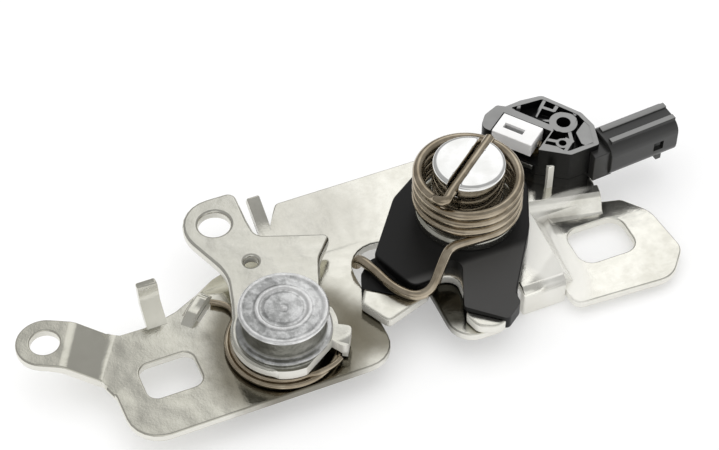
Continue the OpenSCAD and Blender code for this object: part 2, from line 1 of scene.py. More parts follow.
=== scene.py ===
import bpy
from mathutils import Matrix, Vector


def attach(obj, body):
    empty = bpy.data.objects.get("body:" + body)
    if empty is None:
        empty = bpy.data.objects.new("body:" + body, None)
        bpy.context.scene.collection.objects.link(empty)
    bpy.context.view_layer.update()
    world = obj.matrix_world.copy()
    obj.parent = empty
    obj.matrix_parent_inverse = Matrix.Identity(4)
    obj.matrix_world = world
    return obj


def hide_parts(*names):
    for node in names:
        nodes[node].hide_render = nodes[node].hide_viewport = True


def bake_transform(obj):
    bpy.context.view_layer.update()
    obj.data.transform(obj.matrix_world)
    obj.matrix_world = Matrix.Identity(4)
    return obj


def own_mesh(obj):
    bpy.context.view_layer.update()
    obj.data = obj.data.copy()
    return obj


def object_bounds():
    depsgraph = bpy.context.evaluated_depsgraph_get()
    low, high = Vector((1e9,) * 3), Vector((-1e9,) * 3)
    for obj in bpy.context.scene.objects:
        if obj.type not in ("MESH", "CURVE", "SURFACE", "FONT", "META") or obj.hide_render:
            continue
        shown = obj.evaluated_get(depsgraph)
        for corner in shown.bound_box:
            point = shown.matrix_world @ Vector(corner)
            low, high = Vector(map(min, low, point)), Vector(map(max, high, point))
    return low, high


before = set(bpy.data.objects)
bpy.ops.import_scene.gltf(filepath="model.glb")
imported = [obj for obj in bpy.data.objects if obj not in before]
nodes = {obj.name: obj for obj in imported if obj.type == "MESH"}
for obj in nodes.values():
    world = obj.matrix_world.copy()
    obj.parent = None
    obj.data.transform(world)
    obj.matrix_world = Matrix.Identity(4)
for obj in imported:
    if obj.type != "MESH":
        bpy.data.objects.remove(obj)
cadBox = [list(corner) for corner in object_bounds()]

import math
import bmesh
import bpy
from mathutils import Vector
from mathutils.bvhtree import BVHTree
from mathutils.geometry import intersect_point_line

mm = 0.001
scene = bpy.context.scene


# Camera at the angle of the picture

view = {"azimuth": -23.0, "elevation": 48.5, "distance": 547.9 * mm, "lens": 100.14, "sensor": 36,
        "target": (0, 15.5 * mm, 2.5 * mm)}


def makeCamera(v):
    az = math.radians(v["azimuth"])
    el = math.radians(v["elevation"])
    back = Vector((math.sin(az) * math.cos(el), -math.cos(az) * math.cos(el), math.sin(el)))
    cam = bpy.data.objects.new("camera", bpy.data.cameras.new("camera"))
    scene.collection.objects.link(cam)
    cam.data.lens = v["lens"]
    cam.data.sensor_width = v["sensor"]
    cam.data.clip_start = 0.01
    cam.location = Vector(v["target"]) + back * v["distance"]
    cam.rotation_euler = back.to_track_quat("Z", "Y").to_euler()
    scene.camera = cam


makeCamera(view)
print("camera placed")


# Shader sockets that can be added and multiplied like numbers

class Sock:
    def __init__(self, tree, out):
        self.tree = tree
        self.out = out

    def maths(self, op, *values):
        node = self.tree.nodes.new("ShaderNodeMath")
        node.operation = op
        for k, value in enumerate(values):
            plug(self.tree, value, node.inputs[k])
        return Sock(self.tree, node.outputs[0])

    def __add__(self, other):
        return self.maths("ADD", self, other)

    def __radd__(self, other):
        return self.maths("ADD", other, self)

    def __sub__(self, other):
        return self.maths("SUBTRACT", self, other)

    def __rsub__(self, other):
        return self.maths("SUBTRACT", other, self)

    def __mul__(self, other):
        return self.maths("MULTIPLY", self, other)

    def __rmul__(self, other):
        return self.maths("MULTIPLY", other, self)

    def least(self, other):
        return self.maths("MINIMUM", self, other)

    def most(self, other):
        return self.maths("MAXIMUM", self, other)

    def ramp(self, low, high):  # 0 at low, 1 at high, smooth between
        node = self.tree.nodes.new("ShaderNodeMapRange")
        node.interpolation_type = "SMOOTHSTEP"
        plug(self.tree, self, node.inputs["Value"])
        node.inputs["From Min"].default_value = low
        node.inputs["From Max"].default_value = high
        return Sock(self.tree, node.outputs["Result"])


def plug(tree, value, socket):
    if isinstance(value, Sock):
        tree.links.new(value.out, socket)
    else:
        socket.default_value = value


class Look:  # one material and the nodes that feed its shader
    def __init__(self, name, **fixed):
        self.mat = bpy.data.materials.new(name)
        self.mat.use_nodes = True
        self.tree = self.mat.node_tree
        self.shader = self.tree.nodes["Principled BSDF"]
        for key, value in fixed.items():
            self.shader.inputs[key.replace("_", " ")].default_value = value
        self.place = self.node("ShaderNodeTexCoord", {}, {}, "Object")

    def node(self, kind, settings, inputs, output):
        made = self.tree.nodes.new(kind)
        for key, value in settings.items():
            setattr(made, key, value)
        for key, value in inputs.items():
            plug(self.tree, value, made.inputs[key])
        return Sock(self.tree, made.outputs[output])

    def stretch(self, x, y, z, turn=0):
        inputs = {"Vector": self.place, "Scale": (x, y, z), "Rotation": (0, 0, turn)}
        return self.node("ShaderNodeMapping", {}, inputs, 0)

    def vector(self, op, first, second, output="Vector"):
        return self.node("ShaderNodeVectorMath", {"operation": op}, {0: first, 1: second}, output)

    def noise(self, scale, detail=3, rough=0.55, place=None):
        inputs = {"Vector": place or self.place, "Scale": scale, "Detail": detail, "Roughness": rough}
        return self.node("ShaderNodeTexNoise", {}, inputs, 0)

    def cells(self, scale):
        return self.node("ShaderNodeTexVoronoi", {}, {"Vector": self.place, "Scale": scale}, "Distance")

    def mix(self, share, first, second):
        made = self.tree.nodes.new("ShaderNodeMix")
        made.data_type = "RGBA"
        plug(self.tree, share, made.inputs[0])
        plug(self.tree, first, made.inputs[6])
        plug(self.tree, second, made.inputs[7])
        return Sock(self.tree, made.outputs[2])

    def axis(self, name, what=None):
        return self.node("ShaderNodeSeparateXYZ", {}, {"Vector": what or self.place}, name)

    def upward(self):  # 1 on a level top, 0 on a wall
        return self.axis("Z", self.node("ShaderNodeNewGeometry", {}, {}, "Normal"))

    def bump(self, height, strength, distance, soften=0.0):  # soften shades edges as if rounded that much
        sockets = {"Height": height, "Strength": strength, "Distance": distance}
        if soften:
            sockets["Normal"] = self.node("ShaderNodeBevel", {"samples": 8}, {"Radius": soften}, "Normal")
        return self.node("ShaderNodeBump", {}, sockets, 0)

    def feed(self, **inputs):
        for key, value in inputs.items():
            plug(self.tree, value, self.shader.inputs[key.replace("_", " ")])
        return self.mat


def rgb(r, g, b):
    return (r, g, b, 1.0)


fine = 0.1 * mm  # depth of fine grain
grainScale = 1600  # of small smooth pieces


def zincLook(name, v):  # zinc plated sheet: clouds, rub marks, painted shade and highlights, matt cut edges
    look = Look(name)
    cloud = look.noise(v["cloud"], 4, 0.6)
    mottle = look.noise(v["mottle"], 4, 0.6)
    grain = look.noise(v["grain"], 2, 0.6)
    rub = look.noise(v["rub"], 3, 0.5, look.stretch(1, 9, 9, v["turn"]))
    tone = cloud.ramp(0.3, 0.7) * 0.6 + mottle.ramp(0.3, 0.7) * 0.35 + grain * 0.1
    colour = look.mix(tone, v["dark"], v["pale"])
    colour = look.mix(rub.ramp(0.6, 0.75) * v["rubShare"], colour, v["bright"])
    # painted shade: the sheet is darker towards its -X end
    leftShade = (1 - (look.axis("X") + (cloud - 0.5) * v["leftShadeFray"]).ramp(*v["leftShadeReach"])) * v["leftShadeShare"]
    colour = look.mix(leftShade, colour, v["leftShade"])
    slope = look.upward()
    steep = slope.maths("ABSOLUTE", slope)
    cut = (1 - steep.ramp(0.1, 0.4)) * v["cutShare"]
    colour = look.mix(cut, colour, v["cut"])
    metal = 1 - cut * v["cutMatt"]
    # painted patches of shade and highlight in the colour; the matt ones also lose their metal look
    for painted in v["paintedPatches"]:
        near, end = painted["reach"]
        away = look.vector("SUBTRACT", look.place, [c * mm for c in painted["at"]])
        away = look.vector("MULTIPLY", away, painted.get("squeeze", (1, 1, 1)))
        far = look.vector("LENGTH", away, (0, 0, 0), "Value") + (cloud - 0.5) * painted["fray"] * mm
        cover = (1 - far.ramp(near * mm, end * mm)) * painted["share"]
        colour = look.mix(cover, colour, painted["tone"])
        if "matt" in painted:
            metal = metal * (1 - cover * painted["matt"])
    rough = v["rough"] + (cloud.ramp(0.3, 0.7) - 0.5) * v["roughSpread"] + (grain - 0.5) * 0.08
    height = grain * 0.25 + mottle * 0.5 + look.noise(v["wave"], 2, 0.5) * v["waveRise"]
    normal = look.bump(height, v["bump"], v["bumpDepth"], v.get("soften", 0.0))
    return look.feed(Base_Color=colour, Metallic=metal, Roughness=rough + cut * v["cutRough"], Normal=normal)


# colours of painted shade and highlight for the patches below
shadeOlive = rgb(0.13, 0.115, 0.08)
deepShade = rgb(0.035, 0.033, 0.024)
highlightWhite = rgb(0.86, 0.85, 0.80)
platePaintedPatches = [  # painted shade and highlights on the plate, and one greyer soft patch; centre and reach in mm
    # painted shade in a ring round the lever rivet
    {"at": (-34, -15, 2.5), "reach": (17, 27), "fray": 10, "share": 0.86, "tone": shadeOlive},
    # painted shade on the plate left of the mouth, by the catch
    {"at": (-10, -19, 2.5), "reach": (5, 12), "fray": 4, "share": 0.85, "tone": shadeOlive},
    # painted shade in the catch's throat, where its arms shade the plate
    {"at": (14, -12, 2.5), "reach": (13.5, 20), "fray": 2, "share": 0.96, "tone": deepShade},
    {"at": (-10, 24, 2.5), "reach": (4, 24), "fray": 14, "share": 0.45, "tone": rgb(0.5, 0.485, 0.44)},
    # painted highlight: a pale matt patch on the right foot
    {"at": (44, -13, 0), "reach": (7, 11), "fray": 3, "share": 0.9, "tone": highlightWhite, "matt": 0.85,
     "squeeze": (1, 0.5, 1)},
    # painted highlight along the top of the foot's riser
    {"at": (56, 3.2, 1.2), "reach": (1.4, 2.4), "fray": 0.5, "share": 0.6, "tone": rgb(0.88, 0.87, 0.82),
     "matt": 0.85, "squeeze": (0.2, 1, 1)},
    # painted shade at the bottom of the riser, on the foot
    {"at": (57, 1, -3), "reach": (0.8, 3.4), "fray": 2, "share": 0.7, "tone": shadeOlive, "squeeze": (0.22, 1, 1)}]
corePaintedShade = [
    # painted shade on the steel core beside the spring leg
    {"at": (1, -11.5, 5.6), "reach": (4.5, 8), "fray": 2, "share": 0.8, "tone": rgb(0.2, 0.19, 0.165)}]
zincPlate = {"cloud": 45, "mottle": 330, "grain": 1500, "rub": 260, "rubShare": 0.35, "turn": 0.3,
             "wave": 70, "waveRise": 7.0, "bump": 0.4, "bumpDepth": 0.2 * mm,
             "rough": 0.16, "roughSpread": 0.1, "paintedPatches": platePaintedPatches,
             "dark": rgb(0.70, 0.685, 0.61), "pale": rgb(0.98, 0.968, 0.89), "bright": rgb(0.98, 0.98, 0.95),
             "leftShade": rgb(0.60, 0.587, 0.51), "leftShadeReach": (-95 * mm, 45 * mm), "leftShadeFray": 60 * mm,
             "leftShadeShare": 0.9, "cut": rgb(0.80, 0.785, 0.73), "cutShare": 0.8, "cutMatt": 0.8,
             "cutRough": 0.25}
zincLever = dict(zincPlate, cloud=80, wave=85, turn=1.2, rough=0.18, paintedPatches=[], leftShade=rgb(0.56, 0.55, 0.49),
                 leftShadeReach=(-50 * mm, 30 * mm), leftShadeShare=0.8)
coreSteel = dict(zincPlate, cloud=70, wave=80, rough=0.2, turn=0.8, bump=0.25, leftShadeShare=0.85,
                 paintedPatches=corePaintedShade, soften=1.2 * mm)


def rivetLook(v):  # pressed head: mottled blotches, painted highlight rings, painted light to +X and shade to -X, painted shade on the neck
    look = Look("rivetSteel", Metallic=1.0)
    blotch = look.noise(v["blotch"], 5, 0.65)
    spots = look.cells(v["spots"])
    grain = look.noise(v["grain"], 2, 0.6)
    # the X term paints light on the +X side and shade on the -X side
    tone = blotch.ramp(0.38, 0.64) * 0.75 + spots * 0.3 + (look.axis("X") - v["at"][0]) * v["lean"]
    colour = look.mix(tone.least(1.0).most(0.0), v["dark"], v["pale"])
    height = look.axis("Z")
    top = height.ramp(*v["headFrom"])
    level = look.node("ShaderNodeCombineXYZ", {}, {"X": look.axis("X"), "Y": look.axis("Y")}, 0)
    far = look.vector("DISTANCE", level, v["at"], "Value")
    # painted highlights: bright rings on the rim, the raised ring and the centre of the head
    for inner, outer in v["rings"]:
        ring = far.ramp(inner - v["ringFade"], inner) * (1 - far.ramp(outer, outer + v["ringFade"]))
        colour = look.mix(ring * top * (0.45 + blotch * 0.6), colour, v["bright"])
    # painted shade on the neck under the head
    neck = height.ramp(*v["neckFrom"]) * (1 - top)
    colour = look.mix(neck * (0.6 + blotch * 0.4), colour, v["neckShade"])
    rough = v["rough"] + (blotch - 0.5) * 0.25
    dents = blotch * 1.4 + spots * 0.5 + grain * 0.3
    return look.feed(Base_Color=colour, Roughness=rough, Normal=look.bump(dents, v["bump"], v["dentDepth"]))


def wireLook(v):  # drawn spring wire: fine lengthwise drag marks, brown grey, paler rubs
    look = Look("springWire", Metallic=1.0)
    patch = look.noise(v["patch"], 3, 0.6)
    drag = look.noise(v["drag"], 3, 0.6, look.stretch(1, 1, 6))
    colour = look.mix((patch.ramp(0.3, 0.7) * 0.6 + drag * 0.4).least(1.0), v["dark"], v["pale"])
    rough = v["rough"] + (drag - 0.5) * v["roughSpread"]
    return look.feed(Base_Color=colour, Roughness=rough, Normal=look.bump(drag, v["bump"], fine))


def polishLook(v):  # polished post: light clouding and fine grain
    look = Look("polishedPost", Metallic=1.0)
    cloud = look.noise(v["cloud"], 3, 0.55)
    grain = look.noise(v["grain"], 2, 0.5)
    colour = look.mix(cloud.ramp(0.35, 0.7), v["dark"], v["pale"])
    rough = v["rough"] + (cloud - 0.5) * 0.1 + (grain - 0.5) * 0.06
    return look.feed(Base_Color=colour, Roughness=rough, Normal=look.bump(grain, v["bump"], fine))


def blackLook(name, v):  # black moulding: fine grain, paler upper faces painted as a highlight
    look = Look(name, Specular_IOR_Level=v["shine"])
    grain = look.noise(v["grain"], 3, 0.6)
    cloud = look.noise(v["cloud"], 3, 0.6)
    height = look.axis("Z").ramp(*v["topReach"])
    # painted highlight on the upper level faces, mottled
    litTop = look.upward().ramp(0.75, 0.97) * height * (0.55 + cloud * 0.9)
    if "frontReach" in v:  # the highlight is painted mainly at the front
        litTop = litTop * (1 - look.axis("Y").ramp(*v["frontReach"]) * v["frontShare"])
    colour = look.mix(litTop.least(1.0) * v["highlightShare"], v["base"], v["top"])
    rough = v["rough"] + (cloud - 0.5) * 0.12 + (grain - 0.5) * 0.1
    return look.feed(Base_Color=colour, Roughness=rough, Normal=look.bump(grain, v["bump"], fine))


def plainLook(name, v):  # small metal pieces: gentle clouding and grain
    look = Look(name, Metallic=1.0)
    cloud = look.noise(v["cloud"], 3, 0.6)
    grain = look.noise(grainScale, 2, 0.5)
    colour = look.mix(cloud.ramp(0.3, 0.7), v["dark"], v["pale"])
    rough = v["rough"] + (grain - 0.5) * 0.12
    return look.feed(Base_Color=colour, Roughness=rough, Normal=look.bump(grain, 0.06, fine))


def slotLook(v):  # white moulding, painted shade down in its slot
    look = Look("sliderWhite")
    cloud = look.noise(v["cloud"], 3, 0.6)
    grain = look.noise(grainScale, 2, 0.5)
    colour = look.mix(cloud.ramp(0.3, 0.7), v["shade"], v["white"])
    centred = look.vector("SUBTRACT", look.place, v["slotAt"])
    turned = look.node("ShaderNodeVectorRotate", {"rotation_type": "Z_AXIS"},
                       {"Vector": centred, "Angle": math.radians(v["slotTurn"])}, "Vector")
    # painted shade: dark below the slot's top and inside its outline
    slotShadow = 1 - look.axis("Z").ramp(v["slotTop"] - 0.4 * mm, v["slotTop"])
    for name in "XY":
        low, high = v["slot" + name]
        along = look.axis(name, turned)
        slotShadow = slotShadow * along.ramp(low - v["slotFade"], low) * (1 - along.ramp(high, high + v["slotFade"]))
    colour = look.mix(slotShadow, colour, v["slot"])
    rough = v["rough"] + (grain - 0.5) * 0.12
    return look.feed(Base_Color=colour, Roughness=rough, Normal=look.bump(grain, 0.06, fine))


plateMat = zincLook("zincPlate", zincPlate)
leverMat = zincLook("zincLever", zincLever)
coreMat = zincLook("catchSteel", coreSteel)
rivetMat = rivetLook({"blotch": 260, "spots": 520, "grain": 1700, "rough": 0.34, "bump": 0.5,
                      "dentDepth": 0.3 * mm, "lean": 48,
                      "at": (-34 * mm, -15 * mm, 0), "ringFade": 0.3 * mm,
                      "rings": ((6.1 * mm, 7.2 * mm), (10.8 * mm, 11.6 * mm), (0, 0.7 * mm)),
                      "headFrom": (16.6 * mm, 17.1 * mm), "neckFrom": (10.1 * mm, 10.7 * mm),
                      "dark": rgb(0.36, 0.365, 0.36), "pale": rgb(0.90, 0.905, 0.90),
                      "bright": rgb(0.97, 0.97, 0.96), "neckShade": rgb(0.17, 0.165, 0.13)})
wireMat = wireLook({"patch": 120, "drag": 800, "rough": 0.18, "roughSpread": 0.18, "bump": 0.1,
                    "dark": rgb(0.26, 0.21, 0.145), "pale": rgb(0.60, 0.525, 0.41)})
pinMat = polishLook({"cloud": 110, "grain": 1300, "rough": 0.11, "bump": 0.05,
                     "dark": rgb(0.80, 0.80, 0.78), "pale": rgb(0.95, 0.95, 0.945)})
# the top colours below are painted highlights on the upper faces
coverMat = blackLook("blackCover", {"shine": 0.22, "cloud": 60, "grain": 1400, "rough": 0.42, "bump": 0.12,
                                    "base": rgb(0.004, 0.004, 0.004), "top": rgb(0.06, 0.059, 0.057),
                                    "topReach": (6.0 * mm, 6.6 * mm), "highlightShare": 0.9,
                                    "frontReach": (-14 * mm, -11 * mm), "frontShare": 0.9})
switchMat = blackLook("switchBlack", {"shine": 0.25, "cloud": 60, "grain": 1400, "rough": 0.34, "bump": 0.1,
                                      "base": rgb(0.004, 0.004, 0.004), "top": rgb(0.30, 0.30, 0.295),
                                      "topReach": (13.6 * mm, 14.1 * mm), "highlightShare": 1.0})
plugMat = blackLook("plugBlack", {"shine": 0.6, "cloud": 60, "grain": 1300, "rough": 0.32, "bump": 0.1,
                                  "base": rgb(0.02, 0.02, 0.019), "top": rgb(0.22, 0.22, 0.215),
                                  "topReach": (14.4 * mm, 14.7 * mm), "highlightShare": 1.0})
whiteMat = slotLook({"cloud": 90, "rough": 0.35,
                     "white": rgb(0.95, 0.945, 0.94), "shade": rgb(0.88, 0.875, 0.865),
                     # the slot colour is painted shade in the slot
                     "slot": rgb(0.06, 0.06, 0.06), "slotAt": (50.1 * mm, 21.2 * mm, 0), "slotTurn": 52.7,
                     "slotX": (-3.95 * mm, 2.05 * mm), "slotY": (-1.25 * mm, 0.65 * mm),
                     "slotTop": 13.9 * mm, "slotFade": 0.1 * mm})
seatMat = plainLook("seatSteel", {"cloud": 80, "rough": 0.25,
                                  "dark": rgb(0.40, 0.39, 0.33), "pale": rgb(0.62, 0.61, 0.56)})
brassMat = plainLook("contactBrass", {"cloud": 140, "rough": 0.3,
                                      "dark": rgb(0.55, 0.40, 0.18), "pale": rgb(0.80, 0.64, 0.34)})
sleeveMat = plainLook("sleeveBronze", {"cloud": 140, "rough": 0.35,
                                       "dark": rgb(0.46, 0.33, 0.16), "pale": rgb(0.66, 0.50, 0.28)})
steelMat = plainLook("plainSteel", {"cloud": 120, "rough": 0.3,
                                    "dark": rgb(0.52, 0.51, 0.48), "pale": rgb(0.74, 0.73, 0.69)})
print("materials made")


# Pieces: a merged copy of a node with its edges rounded, or a new shape that stands for the node

def meshObject(name, mesh, mat):
    obj = bpy.data.objects.new(name, mesh)
    scene.collection.objects.link(obj)
    mesh.materials.clear()
    mesh.materials.append(mat)
    return obj


def plain(obj):  # bakes the modifiers into a plain mesh
    bpy.context.view_layer.update()
    done = bpy.data.meshes.new_from_object(obj.evaluated_get(bpy.context.evaluated_depsgraph_get()))
    obj.modifiers.clear()
    old = obj.data
    obj.data = done
    bpy.data.meshes.remove(old)
    return obj


def finishPiece(obj, body, node):
    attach(obj, body)
    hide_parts(node)


def smooth(obj, angle):  # smooth shading with flat faces kept flat
    obj.data.shade_smooth()
    obj.data.set_sharp_from_angle(angle=math.radians(angle))
    weighted = obj.modifiers.new("weighted", "WEIGHTED_NORMAL")
    weighted.keep_sharp = True
    weighted.weight = 80
    return plain(obj)


def nodeCopy(name):  # welded copy with each flat face in one piece
    bm = bmesh.new()
    bm.from_mesh(nodes[name].data)
    bmesh.ops.remove_doubles(bm, verts=bm.verts, dist=0.02 * mm)
    bmesh.ops.dissolve_degenerate(bm, edges=bm.edges, dist=0.01 * mm)
    bmesh.ops.dissolve_limit(bm, angle_limit=math.radians(0.8), verts=bm.verts, edges=bm.edges)
    return bm


def turnOf(edge):  # angle between the two faces of an edge, in degrees
    return math.degrees(edge.calc_face_angle(0.0)) if len(edge.link_faces) == 2 else 0.0


def roundEdges(bm, chosen, width, steps):
    bmesh.ops.bevel(bm, geom=chosen, offset=width, offset_type="OFFSET", segments=steps, profile=0.5,
                    affect="EDGES", clamp_overlap=False, material=-1)


def pointGap(p, a, b):  # distance from a point to an edge
    near, share = intersect_point_line(p, a, b)
    near = a if share < 0 else b if share > 1 else near
    return (p - near).length


def sidesOf(face):  # edge, two ends, direction and inward direction of each side of a face
    sides = []
    for loop in face.loops:
        a, b = loop.vert.co, loop.link_loop_next.vert.co
        way = (b - a).normalized()
        sides.append((loop.edge, a, b, way, face.normal.cross(way)))
    return sides


def edgeRoom(bm, sharp):  # how far each sharp edge can be rounded before it meets another one
    room = {e: 1.0 for e in sharp}
    for face in bm.faces:
        sides = sidesOf(face)
        for k, (edge, a, b, way, inward) in enumerate(sides):
            before, after = sides[k - 1], sides[(k + 1) % len(sides)]
            eaten = 0
            for other, first, second in ((before[0], before[3], way), (after[0], way, after[3])):
                turn = math.atan2(first.cross(second).dot(face.normal), first.dot(second))
                if other in room and turn > 0.02:
                    eaten += math.tan(min(turn, 3.0) / 2) if edge in room else 1 / max(math.sin(turn), 0.2)
            if eaten:
                most = 0.9 * (b - a).length / eaten
                for e in (edge, before[0], after[0]):
                    if e in room:
                        room[e] = min(room[e], most)
        facing = [side for side in sides if side[0] in room]
        for k, (edge, a, b, way, inward) in enumerate(facing):
            for other, c, d, otherWay, otherInward in facing[k + 1:]:
                if inward.dot(otherInward) > -0.3 or (c + d - a - b).dot(inward) <= 0:
                    continue
                half = 0.45 * min(pointGap(a, c, d), pointGap(b, c, d), pointGap(c, a, b), pointGap(d, a, b))
                room[edge] = min(room[edge], half)
                room[other] = min(room[other], half)
    return room


def strays(mesh, skin, most):  # faces of the rounding that turned over or left the skin
    spots = []
    mesh.calc_loop_triangles()
    for face in mesh.loop_triangles:
        if face.area < 1e-10:
            continue
        near, normal, index, gap = skin.find_nearest(face.center)
        if gap > most or face.normal.dot(normal) < 0.05:
            spots.append(face.center.copy())
    return spots


def dressed(name, mat, v):  # copy of a node with its folds bent and its edges rounded
    bm = nodeCopy(name)
    if "bend" in v:  # long level folds of the sheet
        level = [e for e in bm.edges if abs(e.verts[0].co.z - e.verts[1].co.z) < 0.5 * mm]
        long = [e for e in level if e.calc_length() > v["foldLength"]]
        folds = [e for e in long if v["foldFrom"] < turnOf(e) < v["foldTo"]]
        roundEdges(bm, folds, v["bend"], 4)
    weight = bm.edges.layers.float.new("bevel_weight_edge")
    sharp = [e for e in bm.edges if turnOf(e) > v["angle"]]
    share = {e: min(1.0, room / v["edge"]) for e, room in edgeRoom(bm, sharp).items()}
    skin = BVHTree.FromBMesh(bm)
    obj = meshObject(v["name"], bpy.data.meshes.new(v["name"]), mat)
    for attempt in range(10):  # the rounding backs off where it folds over itself
        for edge in sharp:
            edge[weight] = share[edge]
        bm.to_mesh(obj.data)
        soft = obj.modifiers.new("edges", "BEVEL")
        soft.limit_method = "WEIGHT"
        soft.width = v["edge"]
        soft.segments = v["steps"]
        soft.use_clamp_overlap = False
        soft.loop_slide = False
        plain(obj)
        spots = strays(obj.data, skin, v["edge"] * 0.6)
        if not spots:
            break
        for edge in sharp:
            a, b = (vert.co for vert in edge.verts)
            if min(pointGap(spot, a, b) for spot in spots) < v["edge"] * 2:
                share[edge] *= 0.6 if attempt < 6 else 0.0
    print(v["name"], "rounded in", attempt + 1, "tries, strays", len(spots))
    bm.free()
    return smooth(obj, 42)


def lathe(name, profile, at, mat, steps=96):  # turned shape from (radius, height) points
    bm = bmesh.new()
    rings = []
    for r, z in profile:
        if r < 1e-6:
            rings.append([bm.verts.new((at[0] * mm, at[1] * mm, z * mm))])
            continue
        ring = []
        for k in range(steps):
            turn = 2 * math.pi * k / steps
            x, y = at[0] + r * math.cos(turn), at[1] + r * math.sin(turn)
            ring.append(bm.verts.new((x * mm, y * mm, z * mm)))
        rings.append(ring)
    for low, high in zip(rings, rings[1:]):
        for k in range(steps):
            n = (k + 1) % steps
            corners = [low[k % len(low)], low[n % len(low)], high[n % len(high)], high[k % len(high)]]
            kept = [c for i, c in enumerate(corners) if c not in corners[:i]]
            if len(kept) > 2:
                bm.faces.new(kept)
    bmesh.ops.remove_doubles(bm, verts=bm.verts, dist=0.001 * mm)
    bmesh.ops.recalc_face_normals(bm, faces=bm.faces)
    mesh = bpy.data.meshes.new(name)
    bm.to_mesh(mesh)
    bm.free()
    return meshObject(name, mesh, mat)


def rounded(points, r, steps=4):  # rounds the corners of a profile of (radius, height) points
    done = [points[0]]
    for before, here, after in zip(points, points[1:], points[2:]):
        b, h, a = Vector(before), Vector(here), Vector(after)
        reach = min(r, (b - h).length * 0.45, (a - h).length * 0.45)
        p, q = h + (b - h).normalized() * reach, h + (a - h).normalized() * reach
        for k in range(steps + 1):
            t = k / steps
            done.append(tuple(p * (1 - t) * (1 - t) + h * 2 * t * (1 - t) + q * t * t))
    return done + [points[-1]]


# Base plate

plate = {"name": "basePlate", "bend": 1.3 * mm, "foldFrom": 18, "foldTo": 75, "foldLength": 7 * mm,
         "angle": 28, "edge": 0.5 * mm, "steps": 3}
finishPiece(dressed("base_plate", plateMat, plate), "frame", "base_plate")
print("plate made")


# Catch: steel core, black cover

core = {"name": "claw_steel", "angle": 28, "edge": 0.3 * mm, "steps": 3}
finishPiece(dressed("claw_core", coreMat, core), "catch", "claw_core")
cover = {"name": "claw_overmould", "angle": 28, "edge": 0.6 * mm, "steps": 4}
finishPiece(dressed("claw_cover", coverMat, cover), "catch", "claw_cover")
print("catch made")


# Pivot post and the seat of its spring

post = {"at": (26.4, 3.5), "top": 28.7, "r": 9.8, "footLow": -1.8, "footR": 7.5, "flareR": 8.4, "stemR": 6,
        "plateTop": 2.5, "journalR": 9, "seatZ": 8.6, "slotW": 3.2, "slotZ": 24.8, "slotTurn": 38,
        "cutLength": 30, "cutHeight": 10, "edge": 0.2}
seat = {"hole": 9.85, "r": 14, "low": 8.6, "top": 11.8, "slope": 0.8}


def makePost(v):
    r, top, low = v["r"], v["top"], v["footLow"]
    foot = [(v["footR"], low), (v["flareR"], 0), (v["stemR"], 0), (v["stemR"], v["plateTop"])]
    journal = [(v["journalR"], v["plateTop"]), (v["journalR"], v["seatZ"]), (r, v["seatZ"])]
    head = [(r, top - 0.9), (r - 0.3, top - 0.3), (r - 1.0, top - 0.05), (r - 4, top), (0, top)]
    obj = lathe("pivotPost", [(0, low)] + rounded(foot + journal + head, 0.4), v["at"], pinMat)
    bpy.ops.mesh.primitive_cube_add(size=1)
    cutter = bpy.context.object
    cutter.scale = (v["cutLength"] * mm, v["slotW"] * mm, v["cutHeight"] * mm)
    cutter.rotation_euler = (0, 0, math.radians(v["slotTurn"]))
    cutter.location = (v["at"][0] * mm, v["at"][1] * mm, (v["slotZ"] + v["cutHeight"] / 2) * mm)
    cut = obj.modifiers.new("slot", "BOOLEAN")
    cut.object = cutter
    cut.solver = "EXACT"
    edge = obj.modifiers.new("edge", "BEVEL")
    edge.width = v["edge"] * mm
    edge.segments = 2
    edge.angle_limit = math.radians(50)
    edge.use_clamp_overlap = False
    plain(obj)
    bpy.data.objects.remove(cutter)
    return smooth(obj, 35)


def makeSeat(v):
    hole, r, low, top, slope = v["hole"], v["r"], v["low"], v["top"], v["slope"]
    profile = [(hole, low), (r, low), (r, top - slope), (r - slope, top), (hole, top), (hole, low)]
    return smooth(lathe("springSeat", rounded(profile, 0.3), post["at"], seatMat), 35)


finishPiece(makePost(post), "frame", "claw_pin")
finishPiece(makeSeat(seat), "frame", "spring_seat")
print("post made")


# Lever, rivet

lever = {"name": "releaseLever", "angle": 28, "edge": 0.9 * mm, "steps": 4}
finishPiece(dressed("pawl_lever", leverMat, lever), "lever", "pawl_lever")

rivet = {"at": (-34, -15), "footLow": -1.8, "footR": 6.6, "flareR": 7.6, "stemR": 5, "plateTop": 2.5,
         "journalR": 7, "flangeR": 12.6, "flangeZ": 9.1, "neckR": 10.6, "headR": 11.8, "top": 17.8}


def makeRivet(v):
    low, plateTop, flangeZ, top = v["footLow"], v["plateTop"], v["flangeZ"], v["top"]
    flangeR, neckR, headR = v["flangeR"], v["neckR"], v["headR"]
    foot = [(0, low), (v["footR"], low), (v["flareR"], 0), (v["stemR"], 0), (v["stemR"], plateTop)]
    journal = [(v["journalR"], plateTop), (v["journalR"], flangeZ)]
    flange = [(flangeR, flangeZ), (flangeR, 9.9), (flangeR - 0.4, 10.25), (11.2, 10.3)]
    neck = [(neckR + 0.15, 10.7), (neckR, 13), (neckR + 0.15, 16.2), (11.2, 16.6)]
    rim = [(headR, 16.8), (headR, top - 0.4), (headR - 0.4, top), (10.6, 17.78), (9.8, 17.56)]
    face = [(7.8, 17.5), (7.2, 17.7), (6.5, 17.7), (6.0, 17.38), (5.4, 17.42), (4.9, 17.6)]  # raised ring
    middle = [(1.5, 17.5), (0.9, 17.3), (0.5, 17.5), (0, 17.55)]
    profile = foot + journal + flange + neck + rim + face + middle
    return smooth(lathe("leverRivet", rounded(profile, 0.35), v["at"], rivetMat), 40)


finishPiece(makeRivet(rivet), "frame", "pawl_rivet")
print("lever made")


# Springs: wire swept along the path of the part

